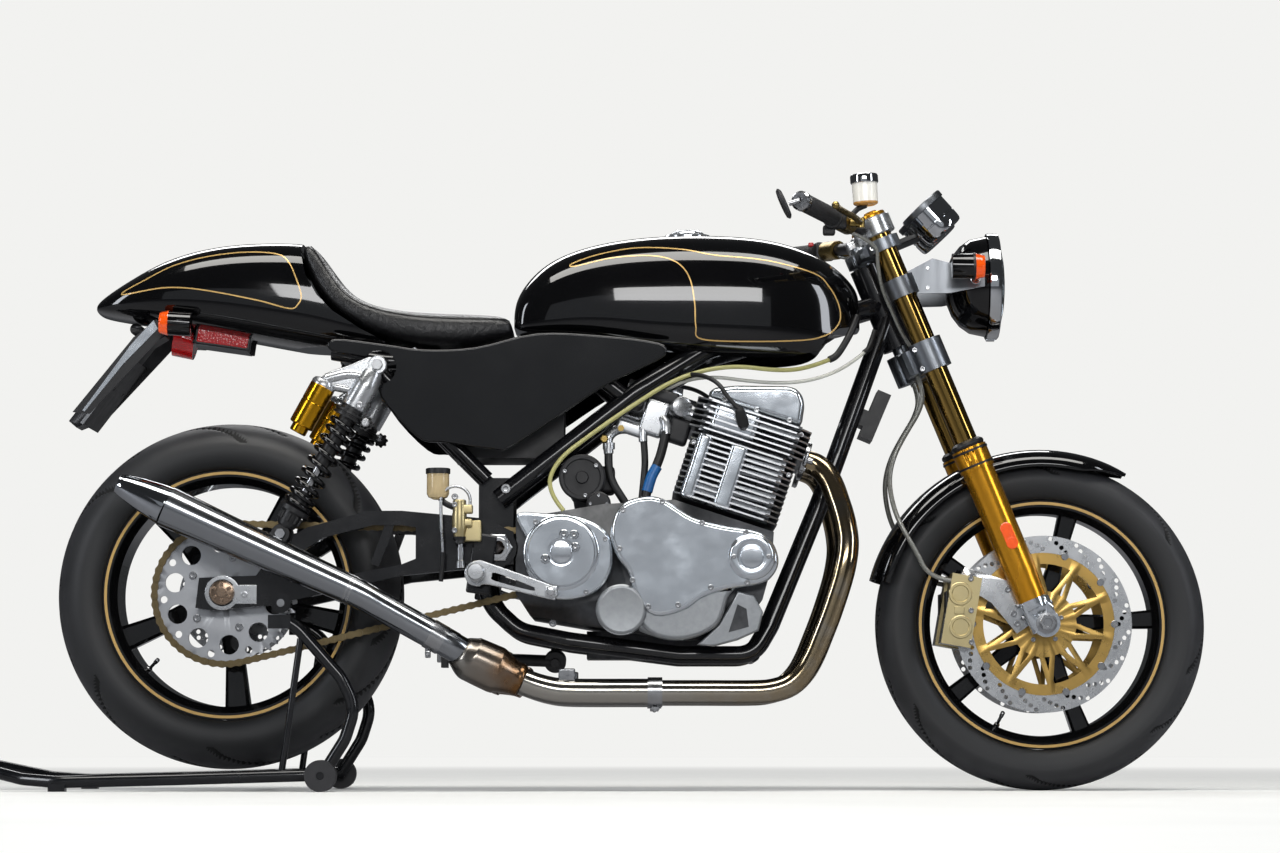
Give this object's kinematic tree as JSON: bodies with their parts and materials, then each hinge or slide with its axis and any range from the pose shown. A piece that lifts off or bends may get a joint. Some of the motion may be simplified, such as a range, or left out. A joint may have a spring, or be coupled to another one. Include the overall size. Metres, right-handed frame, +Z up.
{
  "type": "cafe racer motorcycle on a paddock stand",
  "caption": "Cafe racer motorcycle with a finned twin engine, twin shocks, cast wheels, clip-on bars and a humped seat, held on its tubular paddock stand.",
  "frame": {"origin": "on the floor under the middle of the whole outline, stand included", "axes": "+X forwards, +Y to the rider's left, +Z up"},
  "size_m": [2.312, 0.7462, 1.1089],
  "materials": {
    "frame_black": "satin black powder coat",
    "swingarm_black": "satin black paint",
    "bright_steel": "polished steel",
    "shock_silver": "satin machined alloy",
    "spring_black": "gloss black coated spring",
    "chain_steel": "gold and steel chain plates",
    "cast_case": "cast and painted alloy",
    "polished_cover": "hand polished alloy",
    "fin_alloy": "bead blasted alloy with machined fin edges",
    "throttle_alloy": "cast alloy",
    "black_plastic": "matt moulded plastic",
    "stainless": "polished stainless with heat tint",
    "black_gloss": "gloss black lacquer with gold lines",
    "seat_leather": "smooth black hide",
    "amber_lens": "moulded lens and black housing",
    "bracket_black": "satin black bracket",
    "gold_alloy": "gold anodised alloy",
    "stand_black": "gloss black paint",
    "cable_sheath": "moulded cable sheath",
    "yoke_alloy": "polished and machined alloy",
    "fork_bronze": "bronze coated slider",
    "fork_gold": "gold anodised alloy",
    "bar_black": "black paint",
    "grip_rubber": "moulded rubber",
    "brass_alloy": "brass coloured anodised alloy",
    "chrome": "chrome plate",
    "clear_glass": "clear glass over a bright reflector",
    "indicator_black": "black body with an amber lens",
    "hose_black": "black braided hose",
    "tyre": "sport road tread",
    "wheel_black": "gloss black cast wheel with a gold line",
    "disc_steel": "ground and drilled steel",
    "sprocket_alloy": "machined alloy",
    "roller": "nylon roller with a bright hub"
  },
  "bodies": {
    "root": {"frame_backbone": "frame_black", "frame_cradle": "frame_black", "rear_subframe": "frame_black", "swingarm": "swingarm_black", "swingarm_spindle": "bright_steel", "rear_axle": "bright_steel", "rear_shocks": "shock_silver", "shock_springs": "spring_black", "drive_chain": "chain_steel", "crankcase": "cast_case", "timing_cover": "polished_cover", "gearbox_cover": "polished_cover", "primary_cover": "polished_cover", "cylinder_barrel": "fin_alloy", "cylinder_head": "fin_alloy", "rocker_cover": "polished_cover", "throttle_bodies": "throttle_alloy", "starter_motor": "black_plastic", "header_pipes": "stainless", "mufflers": "stainless", "fuel_tank": "black_gloss", "fuel_cap": "bright_steel", "seat_pad": "seat_leather", "tail_cowl": "black_gloss", "side_panels": "black_gloss", "airbox": "black_plastic", "regulator": "black_plastic", "rear_lamps": "amber_lens", "plate_bracket": "bracket_black", "foot_controls": "polished_cover", "rear_brake_master": "gold_alloy", "rear_caliper": "gold_alloy", "paddock_stand": "stand_black", "control_cables": "cable_sheath"},
    "steering": {"yokes": "yoke_alloy", "fork_tubes": "fork_bronze", "fork_lowers": "fork_gold", "front_axle": "bright_steel", "front_mudguard": "black_gloss", "front_calipers": "gold_alloy", "handlebars": "bar_black", "grips": "grip_rubber", "hand_levers": "brass_alloy", "headlamp_shell": "chrome", "headlamp_lens": "clear_glass", "lamp_brackets": "polished_cover", "front_indicators": "indicator_black", "instruments": "chrome", "brake_hoses": "hose_black"},
    "front_wheel": {"front_tyre": "tyre", "front_rim": "wheel_black", "front_discs": "disc_steel"},
    "rear_wheel": {"rear_tyre": "tyre", "rear_rim": "wheel_black", "rear_disc": "disc_steel", "rear_sprocket": "sprocket_alloy"},
    "side_stand": {"side_stand": "stand_black"},
    "stand_roller_right": {"stand_roller_right": "roller"},
    "stand_roller_left": {"stand_roller_left": "roller"}
  },
  "joints": [
    {"name": "steering_turn", "type": "hinge", "parent": "root", "child": "steering", "pos_m": [0.57477, 0, 0.87885], "axis": [-0.3795, 0, 0.9252], "range_deg": [-26, 26]},
    {"name": "front_wheel_spin", "type": "hinge", "parent": "steering", "child": "front_wheel", "pos_m": [0.856, 0, 0.3], "axis": [0, 1, 0], "continuous": true},
    {"name": "rear_wheel_spin", "type": "hinge", "parent": "root", "child": "rear_wheel", "pos_m": [-0.62, 0, 0.353], "axis": [0, 1, 0], "continuous": true},
    {"name": "side_stand_swing", "type": "hinge", "parent": "root", "child": "side_stand", "pos_m": [-0.03, 0.074, 0.236], "axis": [-0.0134, -0.9425, -0.334], "range_deg": [0, 99]},
    {"name": "stand_roller_right_spin", "type": "hinge", "parent": "root", "child": "stand_roller_right", "pos_m": [-0.436, -0.2, 0.028], "axis": [0, 1, 0], "continuous": true},
    {"name": "stand_roller_left_spin", "type": "hinge", "parent": "root", "child": "stand_roller_left", "pos_m": [-0.436, 0.2, 0.028], "axis": [0, 1, 0], "continuous": true}
  ]
}
